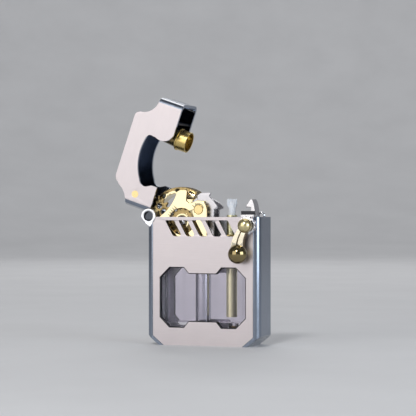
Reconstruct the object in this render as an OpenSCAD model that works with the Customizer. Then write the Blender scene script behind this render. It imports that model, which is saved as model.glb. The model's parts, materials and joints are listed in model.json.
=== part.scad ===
// Mechanical spark lighter: a pocket fuel lighter with a geared flint-wheel movement,
// a sprung hinged lid with a snuffer, and a side lever that works the lid catch.
// Units are millimetres, +Z is up, the front faces -Y, and the origin is the centre
// of the flat bottom. The model is drawn with the lid open.

/* [Case] */
// Width of the case, left to right
case_w = 40; // [39.5:0.1:40.4]
// Depth of the case, front to back
case_t = 14; // [14:0.1:14.4]
// Height of the case up to its rim
case_h = 43; // [42.8:0.05:43.1]
// Radius of the four upright edges
corner_r = 2.3; // [1.6:0.1:2.6]
// Thickness of the end walls
end_wall = 1.2; // [1:0.05:1.25]
// Thickness of the front and back face plates
plate_t = 0.8; // [0.5:0.05:1]
// Half width of the face plates
plate_half = 17.7; // [17:0.1:18]

/* [Window] */
// Half width of the tank window
window_half = 15; // [13:0.1:15.2]
// Lower edge of the window
window_z0 = 6.2; // [6:0.1:8]
// Upper edge of the window
window_z1 = 26; // [22:0.1:27]
// Corner chamfer of the window
window_chamfer = 3.3; // [2:0.1:4]
// Depth of the waist step in the upper and lower edge
waist_step = 2.05; // [1:0.05:2.5]
// Half width of the waist
waist_half = 4.95; // [4:0.05:6]

/* [Louvres] */
// Number of slanted louvres under the rim
louvre_count = 5; // [3:1:5]
// Spacing of the louvres
louvre_pitch = 4.76; // [4.2:0.01:4.8]
// Width of one louvre across its slant
louvre_w = 2.8; // [1.6:0.1:3]
// Slant of the louvres away from upright
louvre_slant = 28; // [20:1:36]

/* [Lid] */
// Height of the lid above its hinge line
lid_h = 15.8; // [15.6:0.1:16.4]
// Thickness of the lid walls
lid_wall = 0.9; // [0.7:0.05:0.95]
// Opening angle of the lid as drawn
lid_open = 71; // [0:1:71]

/* [Gears] */
// Gear module
gear_module = 0.6; // [0.6:0.1:0.6]
// Teeth on the full circle of the lid's sector
sector_teeth = 23; // [23:1:23]
// Teeth on the drive gear
drive_teeth = 15; // [15:1:15]
// Teeth on the pinion
pinion_teeth = 9; // [9:1:9]
// Thickness of the gears
gear_t = 1; // [0.6:0.05:1]

/* [Wick and flint] */
// Radius of the wick
wick_r = 1.45; // [1.2:0.05:1.45]
// Height of the wick's frayed top
wick_top = 49.1; // [48:0.1:49.2]
// Radius of the flint wheel
wheel_r = 4.4; // [4:0.05:4.5]
// Teeth cut in the flint wheel
wheel_teeth = 36; // [24:1:44]

/* [Lever] */
// Radius of the upper ball on the lever's pivot
pivot_ball_r = 2.4; // [2.2:0.05:2.7]
// Radius of the lower ball at the end of the lever
end_ball_r = 3.2; // [2.6:0.05:3.3]

/* [Hidden] */
$fn = 48;

// Hinge line of the lid and the two gear centres, as [x, z]
hinge = [-19.4, case_h + 0.2];
mesh_1 = -8.5;
mesh_2 = 33;
addendum = 0.8 * gear_module;
dedendum = 1.05 * gear_module;
backlash = 0.1;
pressure_angle = 25;
drive_c = hinge + gear_module * (sector_teeth + drive_teeth) / 2 * [cos(mesh_1), sin(mesh_1)];
wheel_c = drive_c + gear_module * (drive_teeth + pinion_teeth) / 2 * [cos(mesh_2), sin(mesh_2)];
gear_y = -4.1;

// Case layout
wall_t = 0.8;
half_w = case_w / 2;
half_t = case_t / 2;
cavity_x = half_w - end_wall;
cavity_y = half_t - plate_t - wall_t;
plate_gap = 0.12;
plate_chamfer = [3.9, 3.2];
case_chamfer = [4.4, 3.6];
louvre_z = 39.2;
louvre_half = 2.7;
louvre_first_x = -10.3;

// Hinge barrel
barrel_r = 2.55;
barrel_bore = 1.7;
barrel_clear = 2.8;
knuckle_y = 5.4;
pin_recess = 0.8;
lid_knuckle = [2.9, 5.3];

// Movement
deck_z = 33.4;
deck_t = 1.2;
deck_top = deck_z + deck_t;
cheek_y = [4.2, 5.2];
guard_y = [2.2, 3];
axle_r = 1;
axle_head_r = 1.45;
arch_r = 4.5;
fender_c = [-9.6, 41.6];
fender_r = 11.5;
fender_left = -17.2;
fender_a = [58, 142];
fender_half_y = 2.8;
horn_x = -7.6;
horn_z = 50.4;

// Tank, wick and flint
tank_half = [15.6, 5.3];
tank_r = 4.5;
tank_z = [5.6, 33.3];
tank_wall = 1.2;
tank_floor = 2.1;
base_h = 5.5;
base_screw_x = 13.9;
wick_x = 8;
wick_tube_r = 1.75;
flint_x = wheel_c[0];
flint_tube_r = 2.6;
flint_neck_r = 2;
flint_bore = 1.6;
flint_top = wheel_c[1] - wheel_r - 0.05;
filler_x = 9;
filler_r = 2.8;

// Snuffer, in the closed lid's own frame
snuffer_u = 27.4;
snuffer_mouth = -3.3;
snuffer_step = 0.6;
snuffer_top = 6.9;
cup_r = 3.55;
cup_neck = [3.05, 2.45];

// Rear end and end fillets of the lid, rivet and catch pin, in the closed lid's own frame
lid_rear = 1;
lid_end_r = 2.2;
rivet = [5.5, 7];
rivet_r = 1.2;
catch = [32.35, 1.75];
catch_r = 0.5;

// Lever
lever_c = [16.1, 40.2];
lever_end = [13.5, 30.8];
shaft_r = 1.15;
lever_y = -9.9;
hook_half_y = 2.35;
ledge_z = [43.8, 45];

// Points along a circular arc from angle a0 to a1
function arc(c, r, a0, a1, n = 12) =
    [for (i = [0 : n]) c + r * [cos(a0 + (a1 - a0) * i / n), sin(a0 + (a1 - a0) * i / n)]];

// Profile in the x-z plane, extruded in y between y0 and y1
module across(y0, y1) {
    translate([0, y1, 0]) rotate([90, 0, 0]) linear_extrude(y1 - y0) children();
}

// Cylinder along y at the point c = [x, z]
module rod(c, r, y0, y1) {
    translate([c[0], y1, c[1]]) rotate([90, 0, 0]) cylinder(r = r, h = y1 - y0);
}

// Box given by its two opposite corners
module block(a, b) {
    translate(a) cube(b - a);
}

// Rounded rectangle with true arcs
module rounded(half, r) {
    square([2 * half[0], 2 * (half[1] - r)], center = true);
    square([2 * (half[0] - r), 2 * half[1]], center = true);
    for (sx = [-1, 1], sy = [-1, 1])
        translate([sx * (half[0] - r), sy * (half[1] - r)]) circle(r);
}

// Ring of round wire about the z axis
module wire_ring(r, wire) {
    rotate_extrude() translate([r, 0]) circle(wire, $fn = 16);
}

// Close-wound coil about the z axis: rings that just merge
module coil(r, wire, turns) {
    for (i = [0 : turns - 1]) translate([0, 0, wire + i * wire * 1.9]) wire_ring(r, wire);
}

// Everything that belongs to the lid is drawn closed and turned about the hinge
module on_lid() {
    translate([hinge[0], 0, hinge[1]]) rotate([0, -lid_open, 0]) children();
}

// ---- Gear teeth ----
// Roll angle of the involute at radius r for base radius rb
function involute(rb, r) = sqrt(pow(r / rb, 2) - 1) * 180 / PI - acos(rb / r);

// Half angle of a tooth at radius r
function tooth_half(n, r) =
    let (rp = gear_module * n / 2, rb = rp * cos(pressure_angle))
    90 / n - backlash / 2 / rp * 180 / PI
        + involute(rb, rp) - involute(rb, max(r, rb * 1.0001));

// Outline of one tooth at angle a, with root points on either side
function tooth(n, a) =
    let (rp = gear_module * n / 2, root = rp - dedendum, tip = rp + addendum, steps = 5)
    concat(
        [root * [cos(a - tooth_half(n, root) - 1), sin(a - tooth_half(n, root) - 1)]],
        [for (i = [0 : steps])
            let (r = root + 0.2 + (tip - root - 0.2) * i / steps, h = tooth_half(n, r))
            r * [cos(a - h), sin(a - h)]],
        [for (i = [steps : -1 : 0])
            let (r = root + 0.2 + (tip - root - 0.2) * i / steps, h = tooth_half(n, r))
            r * [cos(a + h), sin(a + h)]],
        [root * [cos(a + tooth_half(n, root) + 1), sin(a + tooth_half(n, root) + 1)]]
    );

// Whole spur gear with one tooth centred on angle a0
module spur(n, a0) {
    polygon([for (k = [0 : n - 1]) each tooth(n, a0 + k * 360 / n)]);
}

// ---- Case ----
function plate_outline(grow, z0, z1) = [
    [-plate_half - grow, z0 + plate_chamfer[1]], [-plate_half + plate_chamfer[0] - grow, z0],
    [plate_half - plate_chamfer[0] + grow, z0], [plate_half + grow, z0 + plate_chamfer[1]],
    [plate_half + grow, z1], [-plate_half - grow, z1]
];

module window_cut() {
    c = window_chamfer;
    s = waist_step;
    right = [
        [waist_half + 1.75, window_z0], [window_half - c, window_z0],
        [window_half, window_z0 + c], [window_half, window_z1 - c],
        [window_half - c, window_z1], [waist_half + 1.75, window_z1],
        [waist_half, window_z1 - s]
    ];
    polygon(concat(
        [[waist_half, window_z0 + s]], right,
        [for (i = [len(right) - 1 : -1 : 0]) [-right[i][0], right[i][1]]],
        [[-waist_half, window_z0 + s]]
    ));
}

// Rounded corner of a louvre: up is 1 at the top edge, right is 1 on the right side
function louvre_corner(up, right, r, a0, a1) =
    let (z = up * (louvre_half - r), x = -z * tan(louvre_slant)
        + right * (louvre_w / 2 - r) / cos(louvre_slant))
    arc([x, z], r, a0, a1, 6);

// Slanted louvre with level ends, sharp at the upper left corner
module louvre() {
    side = louvre_slant;
    polygon(concat(
        louvre_corner(1, 1, 1, side, 90),
        louvre_corner(1, -1, 0.2, 90, 180 + side),
        louvre_corner(-1, -1, 1.2, 180 + side, 270),
        louvre_corner(-1, 1, 0.7, 270, 360 + side)));
}

module louvres() {
    for (i = [0 : louvre_count - 1])
        translate([louvre_first_x + i * louvre_pitch, louvre_z]) louvre();
}

module case_shell() {
    color("slategray") difference() {
        union() {
            difference() {
                linear_extrude(case_h) rounded([half_w, half_t], corner_r);
                // Room for the lid's barrel at the left rim
                rod(hinge, barrel_clear, -half_t - 1, half_t + 1);
            }
            // Teardrop knuckles at the front and back corners
            for (y = [-half_t, knuckle_y]) across(y, y + half_t - knuckle_y) translate(hinge) {
                circle(barrel_r);
                rotate(-125) square(barrel_r * 0.98);
            }
        }
        translate([0, 0, -1]) linear_extrude(case_h + 2)
            rounded([cavity_x, cavity_y], corner_r - end_wall);
        rod(hinge, barrel_bore, -half_t - 1, half_t + 1);
        // Only the outer knuckles stay beside the lid's barrel
        rod(hinge, barrel_clear, -knuckle_y, knuckle_y);
        for (side = [-1, 1]) {
            y0 = side < 0 ? -half_t - 1 : half_t - plate_t;
            difference() {
                across(y0, y0 + plate_t + 1)
                    polygon(plate_outline(plate_gap, 0, case_h + 3));
                rod(hinge, barrel_r, -half_t, half_t);
            }
        }
        across(-half_t, half_t) window_cut();
        across(-half_t, -cavity_y + 1) {
            // One opening behind all the louvres
            translate([louvre_first_x - 3.6, louvre_z - louvre_half - 0.3])
                square([(louvre_count - 1) * louvre_pitch + 7.2, 2 * louvre_half + 0.6]);
        }
        rod(lever_c, shaft_r + 0.06, -half_t, -cavity_y + 1);
        base_corners();
    }
}

// Wedges that cut the lower corners of the case away over its whole depth
module base_corners() {
    for (side = [-1, 1]) across(-half_t - 1, half_t + 1) polygon([
        [side * (half_w - case_chamfer[0]), 0], [side * half_w, case_chamfer[1]],
        [side * (half_w + 2), case_chamfer[1]], [side * (half_w + 2), -2],
        [side * (half_w - case_chamfer[0]), -2]
    ]);
}

module face_plate(front) {
    y0 = front ? -half_t : half_t - plate_t;
    difference() {
        across(y0, y0 + plate_t) difference() {
            polygon(plate_outline(0, 0, case_h));
            window_cut();
            if (front) louvres();
        }
        rod(hinge, barrel_r + 0.1, -half_t - 1, half_t + 1);
        if (front) rod(lever_c, shaft_r + 0.06, -half_t - 1, 0);
    }
}

module front_plate() {
    color("thistle") face_plate(true);
}

module back_plate() {
    color("thistle") face_plate(false);
}

module base_block() {
    color("dimgray") difference() {
        linear_extrude(base_h) rounded([cavity_x, cavity_y], corner_r - end_wall);
        translate([flint_x, 0, -1]) cylinder(r = flint_tube_r, h = base_h + 2);
        translate([filler_x, 0, -1]) cylinder(r = filler_r, h = base_h + 2);
        for (side = [-1, 1]) translate([side * base_screw_x, 0, -1]) cylinder(r = 1.3, h = 3);
        base_corners();
    }
}

module base_screws() {
    color("silver") for (side = [-1, 1]) translate([side * base_screw_x, 0, 0.3]) difference() {
        cylinder(r = 1.3, h = 1.7);
        block([-0.2, -2, -1], [0.2, 2, 0.6]);
    }
}

module movement_deck() {
    color("gray") difference() {
        translate([0, 0, deck_z]) linear_extrude(deck_t)
            rounded([cavity_x, cavity_y], corner_r - end_wall);
        translate([flint_x, 0, 0]) cylinder(r = flint_neck_r, h = case_h);
        translate([wick_x, 0, 0]) cylinder(r = wick_tube_r, h = case_h);
    }
}

// ---- Tank, wick and flint ----
module fuel_tank() {
    color("lightcyan", 0.4) difference() {
        translate([0, 0, tank_z[0]]) linear_extrude(tank_z[1] - tank_z[0])
            rounded(tank_half, tank_r);
        translate([0, 0, tank_z[0] + tank_floor])
            linear_extrude(tank_z[1] - tank_z[0] - tank_floor - tank_wall)
            rounded(tank_half - [tank_wall, tank_wall], tank_r - tank_wall);
        translate([flint_x, 0, 0]) cylinder(r = flint_tube_r, h = case_h);
        translate([wick_x, 0, tank_z[1] - 2]) cylinder(r = wick_tube_r, h = 4);
        translate([filler_x, 0, 0]) cylinder(r = 1.5, h = tank_z[0] + tank_floor + 1);
    }
}

module filler_screw() {
    color("goldenrod") translate([filler_x, 0, 0]) difference() {
        union() {
            translate([0, 0, 0.3]) cylinder(r = filler_r, h = 4.2);
            cylinder(r = 1.5, h = tank_z[0] + 1);
        }
        block([-0.4, -4, -1], [0.4, 4, 1.1]);
    }
}

module filler_ring() {
    color("black") translate([filler_x, 0, 5]) wire_ring(2.1, 0.45);
}

module flint_tube() {
    color("gold") translate([flint_x, 0, 0]) difference() {
        union() {
            translate([0, 0, 2]) cylinder(r = flint_tube_r, h = deck_z - 2);
            translate([0, 0, 2]) cylinder(r = flint_neck_r, h = flint_top - 2.5);
        }
        cylinder(r = flint_bore, h = case_h);
    }
}

module flint() {
    color("dimgray") translate([flint_x, 0, flint_top - 5]) cylinder(r = 1.25, h = 5);
}

module flint_spring() {
    wire = 0.25;
    turns = 60;
    color("silver") translate([flint_x, 0, flint_top - 5 - wire * (1.9 * (turns - 1) + 2)])
        coil(1.1, wire, turns, $fn = 24);
}

module flint_screw() {
    color("goldenrod") translate([flint_x, 0, 0]) difference() {
        union() {
            translate([0, 0, 0.3]) cylinder(r = 2.5, h = 1.7);
            translate([0, 0, 2]) cylinder(r = flint_bore, h = 4);
        }
        block([-4, -0.35, -1], [4, 0.35, 1]);
    }
}

module wick() {
    color("white") translate([wick_x, 0, 0]) {
        translate([0, 0, 12]) cylinder(r = wick_r, h = wick_top - 13.5);
        translate([0, 0, wick_top - 3])
            rotate_extrude() polygon(concat(
                [[0, 0], [wick_r, 0], [1.6, 0.9]],
                arc([1.25, 2.4], 0.6, 0, 90, 6), [[0, 3]]));
    }
}

module wick_tube() {
    color("gold") translate([wick_x, 0, 9.5]) difference() {
        cylinder(r = wick_tube_r, h = 34.1);
        translate([0, 0, -1]) cylinder(r = wick_r, h = 40);
    }
}

module wick_nut() {
    color("goldenrod") translate([wick_x, 0, deck_top]) difference() {
        cylinder(r = 3.1, h = 2.4, $fn = 6);
        translate([0, 0, -1]) cylinder(r = wick_tube_r, h = 5);
    }
}

// ---- Hinge and lid ----
module hinge_pin() {
    color("silver") {
        rod(hinge, 1.2, -lid_knuckle[0], lid_knuckle[0]);
        for (side = [-1, 1]) {
            a = side < 0 ? -half_t + pin_recess : lid_knuckle[0];
            rod(hinge, barrel_bore - 0.05, a, a + half_t - pin_recess - lid_knuckle[0]);
        }
    }
}

module hinge_spring() {
    wire = 0.3;
    turns = 9;
    color("silver") {
        translate([hinge[0], -2.6, hinge[1]]) rotate([-90, 0, 0]) coil(1.65, wire, turns);
        // Fixed leg, tucked down inside the end wall
        translate([hinge[0] + 1.65, 2.6 - wire, hinge[1] - 4.6]) cylinder(r = wire, h = 4.6, $fn = 16);
    }
}

// Side outline of the lid in its closed frame, inset by t
function lid_outline(t, bottom) =
    let (x0 = lid_rear + t, x1 = half_w - hinge[0] - t, rear = [0.3, 16.6], tip = [38.2, 14.5])
    concat(
        [[x0, bottom], [x0, 9.6 - t]],
        arc(rear, 7.1 + t, -73, -20, 12),
        arc([9.6, lid_h - 2.3], 2.3 - t, 165, 90, 6),
        arc([30.7, lid_h - 1.6], 1.6 - t, 90, 10, 6),
        arc(tip, 5.7 + t, 180, 264, 12),
        [[x1 - 0.4, 8.75 - t], [x1, 8.3 - t], [x1, bottom]]
    );

// Plan of the lid in its closed frame, inset by t
module lid_plan(t) {
    x1 = half_w - hinge[0] - t;
    half = [(x1 - lid_rear - t) / 2, half_t - t];
    translate([(x1 + lid_rear + t) / 2, 0, -1]) linear_extrude(lid_h + 2)
        rounded(half, lid_end_r - t / 2);
}

// The open C between the rear of the lid and the snuffer lobe
module lid_opening() {
    polygon(concat(
        [[10.1, -2], [10.1, 2.4]],
        arc([11.5, 4.9], 2.45, 215, 105, 10),
        arc([20.2, -7], 17.1, 122, 76, 16),
        arc([24.45, 7.85], 1.7, 84, -25, 10),
        arc([29.6, 4.2], 4.15, 150, 260, 14),
        [[28.88, -2]]
    ));
}

module lid_shell() {
    color("lightsteelblue") on_lid() difference() {
        union() {
            difference() {
                intersection() {
                    across(-half_t, half_t) polygon(lid_outline(0, 0.2));
                    lid_plan(0);
                }
                intersection() {
                    across(-half_t, half_t) polygon(lid_outline(lid_wall, -1));
                    lid_plan(lid_wall);
                }
                across(-half_t - 1, half_t + 1) lid_opening();
                rod([0, 0], barrel_clear, -half_t - 1, half_t + 1);
            }
            for (y = [-lid_knuckle[1], lid_knuckle[0]]) {
                rod([0, 0], barrel_r, y, y + lid_knuckle[1] - lid_knuckle[0]);
                block([lid_rear, y, 0],
                    [lid_rear + lid_wall, y + lid_knuckle[1] - lid_knuckle[0], 3.4]);
            }
        }
        rod([0, 0], barrel_bore, -half_t - 1, half_t + 1);
        for (y = [-half_t - 1, half_t - lid_wall - 1]) rod(rivet, rivet_r, y, y + lid_wall + 2);
    }
}

module lid_sector() {
    rim = gear_module * sector_teeth / 2 - dedendum;
    pitch = 360 / sector_teeth;
    last = mesh_1 - 71;
    color("gold") on_lid() difference() {
        across(gear_y, gear_y + gear_t) difference() {
            union() {
                polygon(concat([[0, 0]],
                    [for (k = [0 : 6]) each tooth(sector_teeth, last + k * pitch)]));
                polygon(concat([[0, 0]], arc([0, 0], rim, last - 8, last + 6 * pitch + 8, 24)));
                // Arm up to the rivet
                polygon([[2.4, 0], [rim, 0.6], [rivet[0] + 1.7, rivet[1]],
                    [rivet[0] - 1.7, rivet[1]], [1.6, 2]]);
                translate(rivet) circle(1.8);
            }
            for (a = [-52, -20]) translate(4.5 * [cos(a), sin(a)]) circle(1);
        }
        rod([0, 0], barrel_r, -half_t, 0);
        // Stays clear of the case's end wall with the lid shut, and of the lid's rear wall
        block([-4, -half_t, -12], [-half_w + end_wall - hinge[0] + 0.2, 0, 0]);
        block([-4, -half_t, -0.1], [lid_rear + lid_wall + 0.02, 0, 10]);
    }
}

module lid_rivets() {
    color("khaki") on_lid() {
        rod(rivet, rivet_r, -half_t - 0.05, gear_y);
        rod(rivet, rivet_r, half_t - lid_wall - 0.5, half_t + 0.05);
    }
}

module snuffer() {
    wall = 0.4;
    step = snuffer_step;
    top = snuffer_top;
    color("goldenrod") on_lid() translate([snuffer_u, 0, 0]) rotate_extrude() polygon([
        [cup_r - wall, snuffer_mouth], [cup_r, snuffer_mouth], [cup_r, step - 0.5],
        [cup_r + 0.25, step - 0.5], [cup_r + 0.25, step], [cup_neck[0], step + 0.4],
        [cup_neck[1], top - 0.6], [1.9, top], [1.1, top + 0.4],
        [1.1, lid_h - lid_wall], [0, lid_h - lid_wall], [0, top - 0.7],
        [cup_neck[1] - wall, top - 0.7], [cup_neck[0] - wall, step], [cup_r - wall, step - wall]
    ]);
}

module catch_pin() {
    color("silver") on_lid() rod(catch, catch_r, -hook_half_y - 0.3, half_t - lid_wall);
}

// ---- Movement ----
module cheek_outline() {
    polygon(concat(
        arc([-24.6, 56.1], 15.6, -57, -17, 12),
        arc([-8.3, 51.3], 0.75, 130, 70, 4),
        arc([-6.8, 51.4], 0.6, 80, 0, 4),
        arc([-5.05, 49.1], 1.5, 190, 285, 8),
        arc(wheel_c, 3, 118, 0, 16),
        [[wheel_c[0] + 3, deck_top], [-16.1, deck_top]]
    ));
}

module cheek_front() {
    color("gold") difference() {
        across(-cheek_y[1], -cheek_y[0]) cheek_outline();
        rod(drive_c, arch_r, -half_t, 0);
        rod(wheel_c, axle_head_r, -half_t, 0);
        // Shadow groove round the axle's head
        rod(wheel_c, axle_head_r + 0.18, -half_t, -cheek_y[1] + 0.4);
    }
}

module cheek_back() {
    color("gold") difference() {
        across(cheek_y[0], cheek_y[1]) cheek_outline();
        rod(drive_c, axle_r + 0.15, 0, half_t);
        rod(wheel_c, axle_head_r, 0, half_t);
        rod(wheel_c, axle_head_r + 0.18, cheek_y[1] - 0.4, half_t);
    }
}

module cheek_spacers() {
    color("silver") {
        rod([horn_x, horn_z], 0.8, -cheek_y[0], cheek_y[0]);
        rod([-14, 36.5], 0.9, -0.5 + gear_y + gear_t + 0.6, cheek_y[0]);
    }
}

// Sector of the fender between two radii
module fender_band(r0, r1) {
    polygon(concat(
        arc(fender_c, r1, fender_a[0], fender_a[1], 40),
        arc(fender_c, r0, fender_a[1], fender_a[0], 40)));
}

// Smooth inner band with a narrower knurled band on top of it
module fender() {
    knurls = 30;
    color("darkgoldenrod") difference() {
        union() {
            across(-fender_half_y, fender_half_y) {
                fender_band(fender_r - 2.2, fender_r - 1.1);
                translate([horn_x, horn_z]) circle(1.5);
                translate([horn_x - 1.1, horn_z]) square([2.2, 1]);
            }
            across(-fender_half_y + 0.4, fender_half_y - 0.4) difference() {
                fender_band(fender_r - 1.15, fender_r);
                for (i = [0 : knurls])
                    let (a = fender_a[0] + 1 + i * (fender_a[1] - fender_a[0] - 2) / knurls)
                        translate(fender_c + fender_r * [cos(a), sin(a)]) circle(0.24, $fn = 8);
            }
        }
        block([fender_left - 10, -half_t, 40], [fender_left, half_t, 60]);
        rod([horn_x, horn_z], 0.8, -half_t, half_t);
    }
}

module gear_bridge() {
    color("gray") difference() {
        across(-3, -2.2) polygon([[-12, deck_top], [-12, deck_top + 1.2], [-10.6, drive_c[1] + 1],
            [-9.3, drive_c[1] + 2.4], [-6.9, drive_c[1] + 2.4], [-5.4, drive_c[1]],
            [-4.4, deck_top]]);
        rod(drive_c, axle_r + 0.15, -half_t, 0);
    }
}

module gear_pin() {
    color("silver") {
        rod(drive_c, axle_r + 0.15, gear_y - 0.9, cheek_y[1]);
        translate([drive_c[0], gear_y - 0.9, drive_c[1]]) scale([1, 1, 1])
            rotate([90, 0, 0]) cylinder(r1 = axle_r + 0.15, r2 = 0.7, h = 0.3);
    }
}

module drive_gear() {
    color("gold") difference() {
        union() {
            across(gear_y, gear_y + gear_t) translate(drive_c)
                spur(drive_teeth, 180 + mesh_1 + 180 / drive_teeth
                    - (sector_teeth / drive_teeth) * drive_phase);
            rod(drive_c, 2.6, gear_y - 0.6, gear_y + 0.1);
        }
        rod(drive_c, 1.9, gear_y - 1, gear_y - 0.3);
        rod(drive_c, axle_r + 0.2, -half_t, 0);
    }
}

// Angle from the mesh line back to the sector tooth next to it, with the lid as drawn
drive_phase = (mesh_1 - 71 + lid_open) - mesh_1;
drive_tooth = 180 + mesh_1 + 180 / drive_teeth - (sector_teeth / drive_teeth) * drive_phase;

module pinion() {
    tooth_angle = 180 + mesh_2 + 180 / pinion_teeth
        - (drive_teeth / pinion_teeth) * (drive_tooth - mesh_2);
    color("goldenrod") difference() {
        union() {
            across(gear_y, gear_y + gear_t) translate(wheel_c) spur(pinion_teeth, tooth_angle);
        }
        rod(wheel_c, axle_r + 0.05, -half_t, 0);
    }
}

module flint_wheel() {
    step = 360 / wheel_teeth;
    color("dimgray") difference() {
        across(-2, 2) translate(wheel_c) difference() {
            polygon([for (k = [0 : wheel_teeth - 1]) each [
                wheel_r * [cos(k * step), sin(k * step)],
                (wheel_r - 0.35) * [cos((k + 0.25) * step), sin((k + 0.25) * step)]]]);
            circle(axle_r + 0.05);
        }
        // Shallow recess in each face
        for (y = [-3, 1.6]) difference() {
            rod(wheel_c, 2.9, y, y + 1.4);
            rod(wheel_c, 1.7, y - 1, y + 3);
        }
    }
}

module wheel_axle() {
    color("khaki") {
        rod(wheel_c, axle_r, -cheek_y[1] - 0.1, cheek_y[1] + 0.1);
        rod(wheel_c, axle_head_r, -cheek_y[1] - 0.1, -cheek_y[0] - 0.02);
        rod(wheel_c, axle_head_r, cheek_y[0] + 0.02, cheek_y[1] + 0.1);
    }
}

// Side plates of the wheel: the front one carries a peak, the rear one only slopes down
module guard_plates() {
    front = [[-3.3, 50.1], [-2.9, 50.5], [-1.9, 51.1], [1, 51.15], [1.45, 50.9], [1.3, 50.3],
        [0.9, 49.9], [2.3, 48.5], [3.6, 47], [3.9, 46.3], [3.8, 45.7], [2.6, 45.6]];
    rear = [[-3.3, 50.1], [-1.9, 50.1], [-1.3, 49.85], [3, 47.6], [4.1, 46.3], [3.9, 45.7],
        [2.6, 45.4]];
    color("silver") for (side = [-1, 1])
        let (y = side < 0 ? -guard_y[1] : guard_y[0]) difference() {
            across(y, y + guard_y[1] - guard_y[0]) polygon(concat(
                [[-3.3, deck_top]], side < 0 ? front : rear, [[2.6, deck_top]]));
            rod(wheel_c, axle_r, -half_t, half_t);
        }
}

// ---- Latch and lever ----
module latch_block() {
    color("silver") difference() {
        block([12.9, -cavity_y, 37.5], [17.4, -3, ledge_z[0]]);
        rod(lever_c, shaft_r + 0.06, -half_t, 0);
    }
}

module latch_ledge() {
    color("black") block([12.9, -5, ledge_z[0]], [17.2, -3, ledge_z[1]]);
}

module latch_coil() {
    color("silver") translate([17.1, 2.8, 43.4]) rotate([-90, 0, 0]) coil(1, 0.28, 4);
}

module latch_hook() {
    color("lightgray") difference() {
        across(-hook_half_y, hook_half_y) polygon([
            [13.65, 46.2], [13.95, 46.95], [15.25, 48.75], [15.6, 49.05], [15.85, 48.9],
            [16.25, 48.1], [16.6, 47], [16.85, 45.6], [17, 44], [17.1, 43], [17.6, 41],
            [17.6, 39.6], [17, 38.6], [15.2, 38.6], [14.6, 39.6], [14.6, 41], [15.4, 43],
            [15.4, 46.2]
        ]);
        rod(lever_c, shaft_r, -half_t, half_t);
    }
}

module lever_shaft() {
    color("gray") rod(lever_c, shaft_r, lever_y, hook_half_y + 0.6);
}

module lever_washer() {
    color("rosybrown") difference() {
        rod(lever_c, 2.9, -half_t - 0.45, -half_t - 0.05);
        rod(lever_c, shaft_r + 0.06, -half_t - 1, 0);
    }
}

module lever_hub() {
    scallops = 12;
    color("darkgoldenrod") difference() {
        rod(lever_c, 3, -half_t - 1.7, -half_t - 0.45);
        rod(lever_c, shaft_r, -half_t - 3, 0);
        pivot_sphere(0.02);
        for (i = [0 : scallops - 1])
            rod(lever_c + 3.1 * [cos(i * 30), sin(i * 30)], 0.42, -half_t - 3, 0, $fn = 16);
    }
}

// Centre line of the arm, bowed to the left between the two balls
function arm_point(s) =
    lever_c + (lever_end - lever_c) * s + [-1.1, 0] * sin(180 * s);

// Band along the arm, of half width w0 at the top and w1 at the bottom
module arm_band(s0, s1, w0, w1) {
    n = 14;
    side = [for (i = [0 : n]) let (s = s0 + (s1 - s0) * i / n) [arm_point(s), w0 + (w1 - w0) * i / n]];
    polygon(concat(
        [for (p = side) p[0] - [p[1], 0]],
        [for (i = [n : -1 : 0]) side[i][0] + [side[i][1], 0]]));
}

module lever_arm() {
    color("gold") difference() {
        across(lever_y - 0.9, -half_t - 1.7) union() {
            arm_band(0, 1, 1.5, 2.3);
            translate(lever_c) circle(2.3);
        }
        across(lever_y - 2, lever_y - 0.2) arm_band(0.1, 1, 0.18, 0.3);
        rod(lever_c, shaft_r, lever_y - 0.2, 0);
        pivot_sphere(0.02);
        end_sphere(0.02);
    }
}

module end_sphere(grow = 0) {
    translate([lever_end[0], lever_y - 0.3, lever_end[1]]) sphere(end_ball_r + grow);
}

module pivot_sphere(grow = 0) {
    translate([lever_c[0], lever_y - 0.6, lever_c[1]]) sphere(pivot_ball_r + grow);
}

module lever_ball() {
    color("goldenrod") end_sphere();
}

module pivot_ball() {
    color("gold") difference() {
        pivot_sphere();
        rod(lever_c, shaft_r, lever_y, 0);
    }
}

case_shell();
front_plate();
back_plate();
base_block();
base_screws();
movement_deck();
fuel_tank();
filler_screw();
filler_ring();
flint_tube();
flint();
flint_spring();
flint_screw();
wick();
wick_tube();
wick_nut();
hinge_pin();
hinge_spring();
lid_shell();
lid_sector();
lid_rivets();
snuffer();
catch_pin();
cheek_front();
cheek_back();
cheek_spacers();
fender();
gear_bridge();
gear_pin();
drive_gear();
pinion();
flint_wheel();
wheel_axle();
guard_plates();
latch_block();
latch_ledge();
latch_coil();
latch_hook();
lever_shaft();
lever_washer();
lever_hub();
lever_arm();
lever_ball();
pivot_ball();
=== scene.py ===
"""Looks for the mechanical spark lighter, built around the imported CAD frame."""

import json
import math
import random

import bmesh
import bpy
from mathutils import Matrix, Vector


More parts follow.
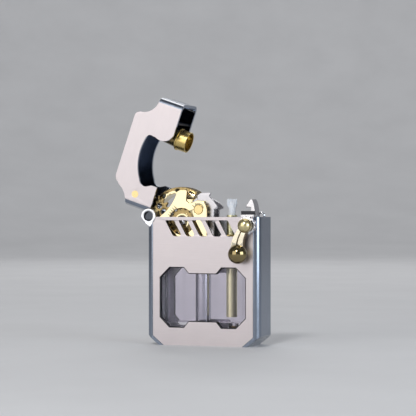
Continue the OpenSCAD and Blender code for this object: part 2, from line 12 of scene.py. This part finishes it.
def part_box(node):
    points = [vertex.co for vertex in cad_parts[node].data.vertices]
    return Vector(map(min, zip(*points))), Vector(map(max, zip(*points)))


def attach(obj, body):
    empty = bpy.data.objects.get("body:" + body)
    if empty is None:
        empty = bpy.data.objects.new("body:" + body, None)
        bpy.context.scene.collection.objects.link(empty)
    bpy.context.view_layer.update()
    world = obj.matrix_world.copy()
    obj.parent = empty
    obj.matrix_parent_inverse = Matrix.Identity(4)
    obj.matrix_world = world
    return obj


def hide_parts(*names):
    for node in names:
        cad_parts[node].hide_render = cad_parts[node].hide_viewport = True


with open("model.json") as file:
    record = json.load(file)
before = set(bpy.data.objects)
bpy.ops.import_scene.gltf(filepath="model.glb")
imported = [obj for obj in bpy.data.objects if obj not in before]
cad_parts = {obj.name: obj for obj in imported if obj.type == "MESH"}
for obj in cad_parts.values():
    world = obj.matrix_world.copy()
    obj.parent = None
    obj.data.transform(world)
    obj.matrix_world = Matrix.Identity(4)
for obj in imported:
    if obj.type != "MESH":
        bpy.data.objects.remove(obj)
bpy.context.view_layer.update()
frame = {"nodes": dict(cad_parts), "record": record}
nodes = frame["nodes"]
random.seed(7)
MM = 0.001


# ---------------------------------------------------------------- positions
def centre(node):
    lo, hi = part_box(node)
    return (Vector(lo) + Vector(hi)) / 2


joints = {j["name"]: j for j in frame["record"]["behaviour"]["joints"]}
HINGE = Vector(joints["lid_hinge"]["pos_m"])
LEVER = Vector(joints["lever_turn"]["pos_m"])
GEAR = Vector(joints["drive_gear_spin"]["pos_m"])
LID_OPEN = math.radians(joints["lid_hinge"]["range_deg"][1])


# ---------------------------------------------------------------- shader helpers
class Nodes:
    """A material's node tree with short calls for the nodes used here."""

    def __init__(self, name):
        self.mat = bpy.data.materials.new(name)
        self.mat.use_nodes = True
        self.tree = self.mat.node_tree
        self.shader = self.tree.nodes["Principled BSDF"]

    def add(self, kind, **values):
        node = self.tree.nodes.new(kind)
        for key, value in values.items():
            if hasattr(node, key):
                setattr(node, key, value)
            else:
                node.inputs[key.replace("_", " ")].default_value = value
        return node

    def link(self, a, b):
        self.tree.links.new(a, b)

    def set(self, **values):
        for key, value in values.items():
            self.shader.inputs[key.replace("_", " ")].default_value = value

    def coords(self, scale=(1, 1, 1), turn=(0, 0, 0)):
        """Object coordinates in millimetres, turned and then scaled."""
        source = self.add("ShaderNodeTexCoord")
        turned = self.add("ShaderNodeMapping")
        turned.inputs["Rotation"].default_value = turn
        scaled = self.add("ShaderNodeMapping")
        scaled.inputs["Scale"].default_value = [s / MM for s in scale]
        self.link(source.outputs["Object"], turned.inputs["Vector"])
        self.link(turned.outputs["Vector"], scaled.inputs["Vector"])
        return scaled.outputs["Vector"]

    def noise(self, vector, scale=1.0, detail=4.0, rough=0.55):
        node = self.add("ShaderNodeTexNoise", Scale=scale, Detail=detail, Roughness=rough)
        self.link(vector, node.inputs["Vector"])
        return node.outputs["Fac"]

    def ramp(self, value, *stops):
        node = self.add("ShaderNodeValToRGB")
        ramp = node.color_ramp
        while len(ramp.elements) < len(stops):
            ramp.elements.new(0.5)
        for element, (at, colour) in zip(ramp.elements, stops):
            element.position = at
            element.color = (*colour, 1) if len(colour) == 3 else colour
        self.link(value, node.inputs["Fac"])
        return node.outputs["Color"]

    def remap(self, value, lo, hi):
        node = self.add("ShaderNodeMapRange")
        node.inputs["To Min"].default_value = lo
        node.inputs["To Max"].default_value = hi
        self.link(value, node.inputs["Value"])
        return node.outputs["Result"]

    def bump(self, value, strength, distance=0.05 * MM, normal=None):
        node = self.add("ShaderNodeBump", Strength=strength, Distance=distance)
        self.link(value, node.inputs["Height"])
        if normal:
            self.link(normal, node.inputs["Normal"])
        return node.outputs["Normal"]

    def into(self, **sockets):
        for key, value in sockets.items():
            self.link(value, self.shader.inputs[key.replace("_", " ")])
        return self


def scaled(colour, k):
    return tuple(min(1, c * k) for c in colour)


def metal(name, colour, rough, grain=None, turn=(0, 0, 0), vary=0.12, bump=0.12, smudge=0.06):
    """Metal with a grain stretched along an axis, smudges and slight tone variation."""
    n = Nodes(name)
    n.set(Metallic=1.0)
    grain_v = n.coords(scale=grain or (3, 3, 3), turn=turn)
    streak = n.noise(grain_v, 1.0, 6, 0.7)
    cloud = n.noise(n.coords(scale=(0.12, 0.12, 0.12)), 1.0, 3, 0.5)
    tone = n.ramp(streak, (0.25, scaled(colour, 1 - vary)), (0.75, scaled(colour, 1 + vary)))
    mix = n.add("ShaderNodeMix", data_type="RGBA", blend_type="MULTIPLY")
    mix.inputs["Factor"].default_value = 0.35
    n.link(tone, mix.inputs[6])
    n.link(n.ramp(cloud, (0.3, (0.86, 0.86, 0.88)), (0.7, (1, 1, 1))), mix.inputs[7])
    rough_mix = n.add("ShaderNodeMath", operation="ADD")
    n.link(n.remap(streak, rough * 0.8, rough * 1.25), rough_mix.inputs[0])
    n.link(n.remap(cloud, -smudge / 2, smudge / 2), rough_mix.inputs[1])
    n.into(Base_Color=mix.outputs[2], Roughness=rough_mix.outputs[0],
           Normal=n.bump(streak, bump))
    return n


PLATE = (0.56, 0.515, 0.525)
plate_mat = metal("brushed_plate", PLATE, 0.36, grain=(0.12, 4, 7), vary=0.07, bump=0.10)
lid_turn = (0, LID_OPEN, 0)
lid_mat = metal("brushed_lid", PLATE, 0.36, grain=(0.12, 4, 7), turn=lid_turn, vary=0.07,
                bump=0.10)
# Polished steel darkened and tinted blue-grey: a painted dark reflection on the case and on the
# lid's rims.
painted_dark_reflection_steel_mat = metal("steel_darkened_for_painted_reflection", (0.29, 0.33, 0.40), 0.14, grain=(1.5, 1.5, 0.2), vary=0.1,
                 bump=0.03)
inner_mat = metal("satin_inner", (0.62, 0.63, 0.65), 0.42, grain=(0.2, 2, 5), vary=0.08, bump=0.08)
steel_mat = metal("satin_steel", (0.52, 0.51, 0.53), 0.28, grain=(2, 2, 2), vary=0.1, bump=0.10)
bright_steel_mat = metal("polished_steel", (0.60, 0.61, 0.64), 0.10, grain=(2, 2, 2), vary=0.06,
                         bump=0.03)
white_steel_mat = metal("bright_satin_steel", (0.60, 0.59, 0.60), 0.24, grain=(1, 1, 6), vary=0.06,
                        bump=0.08)
# Gold darkened as a painted dark reflection on the lever's ball.
painted_dark_reflection_gold_mat = metal("gold_darkened_for_painted_reflection", (0.29, 0.23, 0.115), 0.05, grain=(2, 2, 2), vary=0.06,
                        bump=0.02)
olive_gold_mat = metal("satin_olive_gold", (0.74, 0.64, 0.35), 0.3, grain=(5, 5, 5), vary=0.06,
                       bump=0.06)
pale_gold_mat = metal("pale_gold", (0.60, 0.55, 0.43), 0.16, grain=(0.6, 5, 0.6), vary=0.14,
                      bump=0.1)
pin_mat = metal("smoked_steel", (0.055, 0.06, 0.07), 0.12, grain=(2, 2, 2), vary=0.1, bump=0.04)
# Near-black steel on the latch ledge; on the catch pin, the plates' side walls and the window's
# edges it is painted shade.
black_steel_and_painted_shade_mat = metal("blackened_steel_and_painted_shade", (0.045, 0.045, 0.05), 0.38, grain=(4, 4, 4), vary=0.3,
                  bump=0.1)
gold_mat = metal("polished_gold", (0.70, 0.60, 0.37), 0.09, grain=(2, 2, 2), vary=0.05, bump=0.03)
edge_gold_mat = metal("sheared_gold_edge", (0.50, 0.38, 0.17), 0.25, grain=(0.4, 6, 0.4), vary=0.2,
                      bump=0.1)
# Dark bronze; on the lid's sector, the fender's outer band, the snuffer's neck, the arm's groove
# and sides and the pivot ball's groove it is painted shade.
bronze_and_painted_shade_mat = metal("dark_bronze_and_painted_shade", (0.27, 0.20, 0.09), 0.22, grain=(2, 5, 2), vary=0.25, bump=0.12)
dot_mat = metal("satin_gold", (0.70, 0.54, 0.26), 0.27, grain=(5, 5, 5), vary=0.06, bump=0.08)
brass_mat = metal("turned_brass", (0.72, 0.56, 0.24), 0.24, grain=(1.5, 1.5, 9), vary=0.12,
                  bump=0.18)
cup_mat = metal("turned_cup_brass", (0.70, 0.53, 0.20), 0.27, grain=(0.8, 0.8, 9), turn=lid_turn,
                vary=0.14, bump=0.2)
tube_mat = metal("pale_brass_tube", (0.98, 0.90, 0.56), 0.34, grain=(6, 6, 0.3), vary=0.12,
                 bump=0.06)
# Near-white, bluish lining inside beside the tank: painted light standing in for light that
# reaches the inside.
painted_light_lining_mat = metal("lining_brightened_as_painted_light", (0.93, 0.96, 1.0), 0.5, grain=(3, 3, 0.15), vary=0.2,
                   bump=0.15)
washer_mat = metal("copper_washer", (0.66, 0.56, 0.54), 0.4, grain=(3, 3, 3), vary=0.08, bump=0.08)


tank = Nodes("clear_acrylic")
tank.set(Transmission_Weight=1.0, IOR=1.45, Roughness=0.02)
haze = tank.noise(tank.coords(scale=(0.2, 0.2, 0.05)), 1.0, 3, 0.5)
tank.into(Base_Color=tank.ramp(haze, (0.2, (0.85, 0.82, 0.88)), (0.8, (0.89, 0.86, 0.92))),
          Roughness=tank.remap(haze, 0.0, 0.02))

cotton = Nodes("cotton_wick")
cotton.set(Sheen_Weight=0.5)
weave = cotton.add("ShaderNodeTexWave", Scale=2.4, Distortion=3.0)
weave.wave_type = "BANDS"
weave.bands_direction = "DIAGONAL"
cotton.link(cotton.coords(), weave.inputs["Vector"])
fuzz = cotton.noise(cotton.coords(scale=(3, 3, 3)), 1.0, 6, 0.7)
cotton.into(Base_Color=cotton.ramp(fuzz, (0.3, (0.70, 0.78, 0.90)), (0.6, (0.97, 0.98, 1.0))),
            Roughness=cotton.remap(fuzz, 0.75, 0.95),
            Normal=cotton.bump(weave.outputs["Fac"], 0.5, 0.15 * MM,
                               cotton.bump(fuzz, 0.5, 0.1 * MM)))

ferro = metal("ferrocerium", (0.13, 0.12, 0.12), 0.6, grain=(5, 5, 5), vary=0.3, bump=0.4)
rubber = Nodes("black_rubber")
grit = rubber.noise(rubber.coords(scale=(4, 4, 4)), 1.0, 5, 0.6)
rubber.into(Base_Color=rubber.ramp(grit, (0.2, (0.015,) * 3), (0.8, (0.035,) * 3)),
            Roughness=rubber.remap(grit, 0.55, 0.8), Normal=rubber.bump(grit, 0.2))

FINISH = {
    plate_mat: ["front_plate", "back_plate"],
    lid_mat: ["lid_shell"],
    painted_dark_reflection_steel_mat: ["case_shell"],
    inner_mat: ["base_block", "movement_deck"],
    steel_mat: ["base_screws", "flint_spring", "cheek_spacers", "gear_bridge", "guard_plates",
                "flint_wheel", "latch_hook", "latch_block", "lever_shaft", "latch_coil",
                "hinge_spring"],
    bright_steel_mat: ["gear_pin", "flint_tube"],
    pin_mat: ["hinge_pin"],
    # The catch pin is black as painted shade inside the lid.
    black_steel_and_painted_shade_mat: ["latch_ledge", "catch_pin"],
    gold_mat: ["cheek_front", "cheek_back", "fender", "lid_sector", "drive_gear", "lever_arm",
               "lever_ball", "pivot_ball"],
    dot_mat: ["wheel_axle", "lid_rivets"],
    brass_mat: ["filler_screw", "flint_screw", "wick_nut", "pinion", "lever_hub"],
    tube_mat: ["wick_tube"],
    cup_mat: ["snuffer"],
    washer_mat: ["lever_washer"],
    tank: ["fuel_tank"],
    cotton: ["wick"],
    ferro: ["flint"],
    rubber: ["filler_ring"],
}
FINISH_OF = {node: n for n, names in FINISH.items() for node in names}
for name, obj in nodes.items():
    obj.data.materials.clear()
    obj.data.materials.append(FINISH_OF[name].mat)


def piece(name, bm, finishes, body, node, angle=32):
    """The mesh in bm as a piece that rides on a body and stands for a CAD node."""
    bm.normal_update()
    mesh = bpy.data.meshes.new(name)
    for finish in finishes:
        mesh.materials.append(finish.mat)
    bm.to_mesh(mesh)
    bm.free()
    for poly in mesh.polygons:
        poly.use_smooth = True
    mesh.set_sharp_from_angle(angle=math.radians(angle))
    obj = bpy.data.objects.new(name, mesh)
    bpy.context.collection.objects.link(obj)
    flat = obj.modifiers.new("flat_faces", "WEIGHTED_NORMAL")
    flat.keep_sharp = True
    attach(obj, body)
    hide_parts(node)
    return obj


def edged(node, width, body, finishes=None, choose=None, angle=28, segments=2, rim=None):
    """Copy of a CAD node with its sharp edges rounded, standing for that node.
    choose(centre in mm, normal) gives the index in finishes of each face.
    rim = (test, width) rounds the edges whose ends pass test(point in mm) by another width."""
    bm = bmesh.new()
    bm.from_mesh(nodes[node].data)
    bmesh.ops.remove_doubles(bm, verts=bm.verts, dist=0.002 * MM)
    bmesh.ops.dissolve_limit(bm, angle_limit=math.radians(0.5), verts=bm.verts, edges=bm.edges)

    def bevel(wide, wanted, steps):
        sharp = [e for e in bm.edges if len(e.link_faces) == 2
                 and e.calc_face_angle(0) > math.radians(angle) and wanted(e)]
        bmesh.ops.bevel(bm, geom=sharp, offset=wide * MM, segments=steps, profile=0.5,
                        affect="EDGES", clamp_overlap=True)

    if rim:
        def on_rim(edge):
            return all(rim[0](v.co / MM) for v in edge.verts)
        bevel(width, lambda e: not on_rim(e), segments)
        bevel(rim[1], on_rim, 4)
    else:
        bevel(width, lambda e: True, segments)
    bmesh.ops.triangulate(bm, faces=[f for f in bm.faces if len(f.verts) > 4])
    bm.normal_update()
    for face in bm.faces:
        centre_mm = face.calc_center_median() / MM
        face.material_index = choose(centre_mm, face.normal) if choose else 0
    return piece(node + "_edged", bm, finishes or [FINISH_OF[node]], body, node)


def sweep(bm, path, radius, sides=8):
    """Closed tube along a path; radius is one value or one per point."""
    count = len(path)
    radii = radius if isinstance(radius, list) else [radius] * count
    ahead = [(path[min(i + 1, count - 1)] - path[max(i - 1, 0)]).normalized()
             for i in range(count)]
    side = ahead[0].orthogonal().normalized()
    rings = []
    for point, way, r in zip(path, ahead, radii):
        side = (side - way * side.dot(way)).normalized()
        other = way.cross(side)
        rings.append([bm.verts.new(point + r * (side * math.cos(t) + other * math.sin(t)))
                      for t in (2 * math.pi * k / sides for k in range(sides))])
    for low, high in zip(rings, rings[1:]):
        for k in range(sides):
            m = (k + 1) % sides
            bm.faces.new((low[k], low[m], high[m], high[k]))
    bm.faces.new(rings[0][::-1])
    bm.faces.new(rings[-1])


def lathe(bm, profile, place, turn, finish, around=64):
    """Solid turned about Z from (radius, height) points in mm, poles at radius 0,
    then turned by the matrix and set down at place. finish(n) is the finish of band n."""
    rings = []
    for r, z in profile:
        steps = around if r > 0 else 1
        rings.append([bm.verts.new(place + turn @ Vector((
            r * math.cos(2 * math.pi * k / steps), r * math.sin(2 * math.pi * k / steps), z)) * MM)
            for k in range(steps)])
    for n, (low, high) in enumerate(zip(rings, rings[1:])):
        for k in range(around):
            a, b = k % len(low), (k + 1) % len(low)
            c, d = (k + 1) % len(high), k % len(high)
            corners = [low[a]] + ([low[b]] if a != b else [])
            corners += [high[c]] + ([high[d]] if c != d else [])
            face = bm.faces.new(corners)
            face.material_index = finish(n)


# ---------------------------------------------------------------- edged copies of CAD nodes
# Sizes in mm that part one finish from the next on the same piece
WINDOW_ZONE = (16, 5, 27)      # half width, bottom and top of the zone round the window
CAVITY = (18.85, 5.45)         # half width and half depth, just outside the inner walls
KNUCKLE = (3.8, 5.3, -16)      # reach from the hinge axis, least |y| and greatest x
LID_RIM = 0.55                 # rounding of the lid's outline
HUB_RING_R = 2.65              # raised hub of the drive gear
NECK_HEIGHT = 1.1              # where the snuffer's cup meets its neck, above the hinge
PAINTED_SHADE_BAND_WIDTH = 1.12           # width of the fender's outer band that carries painted shade
GROOVE_HALF = 0.36             # half width of the groove down the lever's arm
ARM_BOW = 1.1                  # how far the arm bows to the left between its balls

case_half_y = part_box("case_shell")[1][1] / MM
tank_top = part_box("fuel_tank")[1][2] / MM
fender_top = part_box("fender")[1][2] / MM
FENDER_R = 11.5
FENDER = Vector((-9.6, 0, fender_top - FENDER_R))
ball_c = centre("lever_ball") / MM
arm_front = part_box("lever_arm")[0][1] / MM


def at_window(point):
    """Whether a point of a plate lies on the outline of the tank's window."""
    half, bottom, top = WINDOW_ZONE
    return abs(point.x) < half and bottom < point.z < top


def on_lid_outline(point):
    """Whether a point lies on the outline of one of the lid's outer faces."""
    return abs(abs(point.y) - case_half_y) < 0.01


def plate_face(c, normal):
    """0 on the brushed face, 1 on its bright bevel, 2 on side walls and round the window in black
    as painted shade.
    """
    flatness = abs(normal.y)
    return 0 if flatness > 0.99 else 1 if flatness > 0.2 and not at_window(c) else 2


def lid_face(c, normal):
    """0 on the brushed outer faces, 1 on their rims and every wall in steel darkened as a painted
    dark reflection, 2 on the inner edges.
    """
    if abs(c.y) > case_half_y - 0.05 and abs(normal.y) > 0.99:
        return 0
    inside = abs(c.y) < case_half_y - LID_RIM - 0.05
    return 2 if inside and 0.3 < abs(normal.y) < 0.97 else 1


def shell_face(c, normal):
    """0 outside in steel darkened as a painted dark reflection, 1 inside the top, 2 on the hinge's
    knuckle rings,
    3 on the window's edge in black as painted shade, 4 inside beside the tank in a lining
    brightened as painted light."""
    near = math.hypot(c.x - HINGE.x / MM, c.z - HINGE.z / MM)
    reach, least_y, greatest_x = KNUCKLE
    half_x, half_y = CAVITY
    if near < reach and abs(c.y) > least_y and c.x < greatest_x:
        return 2
    if at_window(c) and abs(c.y) > half_y:
        return 3
    if abs(c.x) < half_x and abs(c.y) < half_y:
        return 1 if c.z > tank_top else 4
    return 0


def sheet_face(node):
    """Chooser for a sheet part: 0 on its polished sides and their bevels, 1 on cut edges."""
    sides = [corner[1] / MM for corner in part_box(node)]

    def choose(c, normal):
        on_side = min(abs(c.y - y) for y in sides) < 0.03
        return 0 if on_side or abs(normal.y) > 0.8 else 1
    return choose


def gear_face(c, normal):
    """0 on the toothed web, 1 on the raised hub ring."""
    return 1 if math.hypot(c.x - GEAR.x / MM, c.z - GEAR.z / MM) < HUB_RING_R else 0


def snuffer_face(c, normal):
    """0 on the turned cup, 1 on the neck behind it in dark bronze as painted shade."""
    spot = c - HINGE / MM
    height = -spot.x * math.sin(LID_OPEN) + spot.z * math.cos(LID_OPEN)
    return 1 if height > NECK_HEIGHT else 0


def fender_face(c, normal):
    """0 on the inner band, 1 on the outer band in dark bronze as painted shade."""
    radius = math.hypot(c.x - FENDER.x, c.z - FENDER.z)
    return 1 if radius > FENDER_R - PAINTED_SHADE_BAND_WIDTH else 0


def arm_face(c, normal):
    """0 on the arm, 1 in the groove down its front, 2 on its upright sides; 1 and 2 are dark
    bronze as painted shade.
    """
    s = (LEVER.z / MM - c.z) / (LEVER.z / MM - ball_c.z)
    middle = LEVER.x / MM + (ball_c.x - LEVER.x / MM) * s - ARM_BOW * math.sin(math.pi * s)
    if 0.05 < s < 1 and abs(c.x - middle) < GROOVE_HALF and c.y > arm_front + 0.1:
        return 1
    return 2 if abs(normal.y) < 0.15 else 0


edged("lid_shell", 0.15, "lid", [lid_mat, painted_dark_reflection_steel_mat, bright_steel_mat], lid_face,
      rim=(on_lid_outline, LID_RIM))
edged("case_shell", 0.18, "case", [painted_dark_reflection_steel_mat, inner_mat, bright_steel_mat, black_steel_and_painted_shade_mat, painted_light_lining_mat],
      shell_face)
for name in ("front_plate", "back_plate"):
    edged(name, 0.12, "case", [plate_mat, bright_steel_mat, black_steel_and_painted_shade_mat], plate_face,
          rim=(at_window, 0.3))
for name in ("cheek_front", "cheek_back"):
    edged(name, 0.12, "case", [gold_mat, edge_gold_mat], sheet_face(name))
edged("drive_gear", 0.05, "drive_gear", [bronze_and_painted_shade_mat, gold_mat], gear_face)
# The lid's sector is dark bronze as painted shade.
edged("lid_sector", 0.05, "lid", [bronze_and_painted_shade_mat])
edged("fender", 0.08, "case", [gold_mat, bronze_and_painted_shade_mat], fender_face)
edged("guard_plates", 0.12, "case")
edged("snuffer", 0.08, "lid", [cup_mat, bronze_and_painted_shade_mat], snuffer_face)
edged("latch_block", 0.12, "case", [white_steel_mat])
edged("latch_ledge", 0.06, "case")
edged("latch_hook", 0.14, "lever", [white_steel_mat, steel_mat], sheet_face("latch_hook"))
edged("lever_arm", 0.42, "lever", [pale_gold_mat, bronze_and_painted_shade_mat, bronze_and_painted_shade_mat], arm_face, segments=4)
edged("lever_hub", 0.12, "lever", [bright_steel_mat])
edged("hinge_pin", 0.1, "case")


# ---------------------------------------------------------------- turned balls of the lever
def ball(node, groove, finishes):
    """Ball turned about the lever's axis. A groove runs round its front, that many degrees
    before its widest girth; finishes are for the front, the groove and the lip behind it."""
    bands, depth, spread, half_groove = 48, 0.3, 4.0, 3.5
    lo, hi = (Vector(v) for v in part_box(node))
    radius = (hi.x - lo.x) / 2 / MM
    place = Vector(((lo.x + hi.x) / 2, lo.y + radius * MM, (lo.z + hi.z) / 2))
    profile = [(0, radius)]
    for k in range(1, bands):
        a = math.radians(90 - k * 180 / bands)
        dip = depth * math.exp(-((math.degrees(a) - groove) / spread) ** 2) if groove else 0
        profile.append(((radius - dip) * math.cos(a), (radius - dip) * math.sin(a)))
    profile.append((0, -radius))

    def finish(band):
        if not groove:
            return 0
        before = 90 - (band + 0.5) * 180 / bands - groove
        return 0 if before > half_groove else 1 if before > -half_groove else 2

    bm = bmesh.new()
    lathe(bm, profile, place, Matrix.Rotation(math.radians(90), 3, "X"), finish)
    bmesh.ops.recalc_face_normals(bm, faces=bm.faces)
    piece(node + "_turned", bm, finishes, "lever", node)


# The pivot ball's groove is dark bronze as painted shade; its lip is polished gold.
ball("pivot_ball", 24, [olive_gold_mat, bronze_and_painted_shade_mat, gold_mat])
# The lever ball is gold darkened as a painted dark reflection.
ball("lever_ball", None, [painted_dark_reflection_gold_mat])


# ---------------------------------------------------------------- coil springs
def helix(start, axis, along, radius, pitch, turns, steps=20):
    """Points of a helix from start, round the axis that runs along."""
    out = Vector(axis).orthogonal().normalized()
    other = Vector(axis).cross(out)
    total = round(turns * steps)
    return [start + Vector(axis) * (along + pitch * k / steps)
            + radius * (out * math.cos(2 * math.pi * k / steps)
                        + other * math.sin(2 * math.pi * k / steps))
            for k in range(total + 1)]


def coil_spring(node, turns, wire):
    """Helical spring along Y in the top of its CAD node's box, and its axis' start."""
    lo, hi = (Vector(v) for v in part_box(node))
    middle = (lo + hi) / 2
    reach = (hi.z - max(lo.z, hi.z - (hi.x - lo.x))) / 2
    place = Vector((middle.x, lo.y, hi.z - reach))
    w = wire * MM
    pitch = (hi.y - lo.y - 2 * w) / turns
    bm = bmesh.new()
    sweep(bm, helix(place, (0, 1, 0), w, reach - w, pitch, turns), w)
    bmesh.ops.recalc_face_normals(bm, faces=bm.faces)
    return bm, place


HINGE_WIRE = 0.28
bm, place = coil_spring("latch_coil", 4, 0.2)
piece("latch_coil_wire", bm, [bright_steel_mat], "case", "latch_coil", 60)
bm, place = coil_spring("hinge_spring", 9, HINGE_WIRE)
spring_lo, spring_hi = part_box("hinge_spring")
leg_x, leg_y = spring_hi[0] - 0.3 * MM, spring_hi[1] - 0.3 * MM
sweep(bm, [Vector((leg_x, leg_y, spring_lo[2])), Vector((leg_x, leg_y, place.z))],
      HINGE_WIRE * MM)
piece("hinge_spring_wire", bm, [bright_steel_mat], "case", "hinge_spring", 60)


# ---------------------------------------------------------------- wick
def wick():
    """Twisted cotton strands that fray into loose fibres at the top."""
    lo, hi = (Vector(v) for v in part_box("wick"))
    middle = (lo + hi) / 2
    spread = (hi.x - lo.x) / 2
    stem = 1.2 * MM
    neck = hi.z - 3 * MM
    strands, lay, orbit, fibres, steps = 9, 7.5 * MM, 0.85 * MM, 84, 6
    bm = bmesh.new()
    core = [Vector((middle.x, middle.y, z)) for z in (lo.z, neck)]
    sweep(bm, core, 0.8 * MM, 16)
    for s in range(strands):
        phase = 2 * math.pi * s / strands
        path, height = [], lo.z
        while height < neck + 1.2 * MM:
            turn = phase + (height - lo.z) / lay * 2 * math.pi
            path.append(Vector((middle.x + orbit * math.cos(turn),
                                middle.y + orbit * math.sin(turn), height)))
            height += 0.5 * MM
        sweep(bm, path, 0.38 * MM)
    for _ in range(fibres):
        angle = random.uniform(0, 2 * math.pi)
        r0 = stem * math.sqrt(random.random()) * 0.95
        lean = random.uniform(1.25, 1.6)
        drift = random.uniform(-0.5, 0.5)
        top = hi.z - abs(random.gauss(0, 0.35)) * MM
        path = []
        for k in range(steps + 1):
            t = k / steps
            r = min(r0 * (1 + (lean - 1) * min(1, 2.2 * t)), spread - 0.14 * MM)
            a = angle + drift * t + 0.12 * math.sin(9 * t + angle * 5)
            path.append(Vector((middle.x + r * math.cos(a), middle.y + r * math.sin(a),
                                neck + (top - neck) * t)))
        width = random.uniform(0.14, 0.24) * MM
        sweep(bm, path, [width * (1 - 0.55 * (k / steps) ** 3) for k in range(steps + 1)], 5)
    bmesh.ops.recalc_face_normals(bm, faces=bm.faces)
    piece("wick_fibres", bm, [cotton], "case", "wick", 60)


wick()


# ---------------------------------------------------------------- stage, light, camera
def camera():
    """Level camera at the right of the front, as the lighter is usually shown."""
    azimuth = math.radians(20)
    distance, sideways, height = 0.58019, -0.00052, 0.04598
    right = Vector((math.cos(azimuth), math.sin(azimuth), 0))
    back = Vector((math.sin(azimuth), -math.cos(azimuth), 0))
    place = back * distance + right * sideways + Vector((0, 0, height))
    data = bpy.data.cameras.new("camera")
    data.lens = 149.13
    data.sensor_width = 36
    data.clip_start = 0.01
    obj = bpy.data.objects.new("camera", data)
    up = Vector((0, 0, 1))
    obj.matrix_world = Matrix.Translation(place) @ Matrix((right, up, back)).transposed().to_4x4()
    bpy.context.collection.objects.link(obj)
    bpy.context.scene.camera = obj


def softbox(name, place, target, size, power, colour=(1, 1, 1)):
    data = bpy.data.lights.new(name, "AREA")
    data.shape = "RECTANGLE"
    data.size, data.size_y = size
    data.energy = power
    data.color = colour
    obj = bpy.data.objects.new(name, data)
    obj.location = place
    look = Vector(target) - Vector(place)
    obj.rotation_euler = look.to_track_quat("-Z", "Y").to_euler()
    bpy.context.collection.objects.link(obj)


def stage():
    """A pale floor that sweeps up into a round wall."""
    flat, bend, wall, around = 1.05, 0.95, 2.2, 96
    profile = [(0, 0), (0.4, 0), (0.9, 0), (flat, 0)]
    profile += [(flat + bend * math.sin(a), bend - bend * math.cos(a))
                for a in (math.radians(k * 9) for k in range(1, 11))]
    profile.append((flat + bend, wall))
    bm = bmesh.new()
    rings = []
    for r, z in profile:
        if r == 0:
            rings.append([bm.verts.new((0, 0, 0))])
            continue
        rings.append([bm.verts.new((r * math.cos(t), r * math.sin(t), z))
                      for t in (2 * math.pi * k / around for k in range(around))])
    for low, high in zip(rings, rings[1:]):
        for k in range(around):
            m = (k + 1) % around
            if len(low) == 1:
                bm.faces.new((low[0], high[k], high[m]))
            else:
                bm.faces.new((low[k], high[k], high[m], low[m]))
    mesh = bpy.data.meshes.new("floor")
    bm.to_mesh(mesh)
    bm.free()
    for poly in mesh.polygons:
        poly.use_smooth = True
    floor = bpy.data.objects.new("floor", mesh)
    bpy.context.collection.objects.link(floor)
    n = Nodes("pale_floor")
    speck = n.noise(n.coords(scale=(0.02, 0.02, 0.02)), 1.0, 4, 0.5)
    n.into(Base_Color=n.ramp(speck, (0.3, (0.60, 0.60, 0.61)), (0.7, (0.64, 0.64, 0.65))),
           Roughness=n.remap(speck, 0.6, 0.75))
    mesh.materials.append(n.mat)


def lights():
    """Soft studio light: the key faces the front plates' mirror direction."""
    aim = (0, 0, 0.045)
    softbox("key", (-0.36, -0.84, 0.24), aim, (0.8, 0.8), 3.75, (1.0, 0.98, 0.96))
    softbox("front_spot", (0.05, -0.85, 0.75), aim, (0.22, 0.22), 4.5)
    softbox("right_fill", (0.80, -0.30, 0.20), aim, (0.58, 0.5), 4.5, (0.84, 0.92, 1.0))
    softbox("rear_rim", (-0.3, 0.8, 0.5), aim, (0.6, 0.3), 1.0)
    softbox("top", (0, 0.2, 1.1), aim, (0.4, 0.4), 0.8)
    softbox("backdrop", (-0.2, 0.7, 1.3), (-0.55, 1.8, 0.2), (1.2, 0.6), 7)
    world = bpy.data.worlds.new("studio")
    world.use_nodes = True
    background = world.node_tree.nodes["Background"]
    background.inputs["Color"].default_value = (0.72, 0.76, 0.82, 1)
    background.inputs["Strength"].default_value = 0.22
    bpy.context.scene.world = world
    bpy.context.scene.view_settings.view_transform = "Standard"


camera()
stage()
lights()
